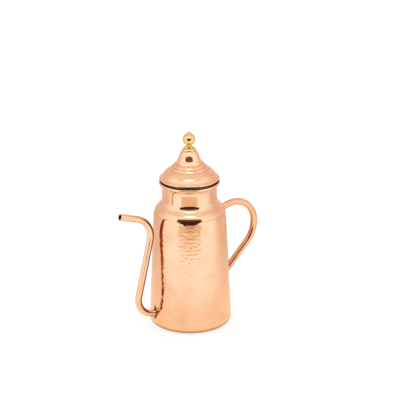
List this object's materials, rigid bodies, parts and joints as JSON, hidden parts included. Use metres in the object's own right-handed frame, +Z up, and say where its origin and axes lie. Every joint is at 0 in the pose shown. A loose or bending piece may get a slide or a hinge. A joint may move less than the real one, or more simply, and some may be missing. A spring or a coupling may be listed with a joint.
{
  "type": "watering can",
  "caption": "Small lidded copper can with a hammered conical body, a narrow swan-neck spout, a bent tube handle and a lift-off bell lid with a brass knob.",
  "frame": {"origin": "centre of the foot ring's underside, on the can's axis", "axes": "+Z up the can's axis, +X towards the handle, the spout towards -X"},
  "size_m": [0.1566, 0.082, 0.1989],
  "materials": {
    "hammered_copper": "hammered and polished",
    "polished_copper": "polished",
    "plain_copper": "satin",
    "polished_brass": "polished",
    "braze": "as brazed, darkened",
    "steel_wire": "drawn",
    "steel": "bright"
  },
  "bodies": {
    "can": {"body_wall": "hammered_copper", "base_disc": "plain_copper", "base_braze": "braze", "shoulder": "polished_copper", "shoulder_braze": "braze", "neck_lip_wire": "steel_wire", "spout_tube": "polished_copper", "spout_braze": "braze", "handle_tube": "polished_copper", "handle_upper_braze": "braze", "handle_lower_braze": "braze"},
    "lid": {"lid_shell": "polished_copper", "lid_rim_wire": "steel_wire", "lid_sleeve": "plain_copper", "lid_sleeve_braze": "braze", "knob_rosette": "polished_brass", "knob": "polished_brass", "knob_stud": "steel", "knob_washer": "steel", "knob_nut": "steel"}
  },
  "joints": [
    {"name": "lid_lift", "type": "slide", "parent": "can", "child": "lid", "axis": [0, 0, 1], "range_m": [0, 0.05]}
  ]
}
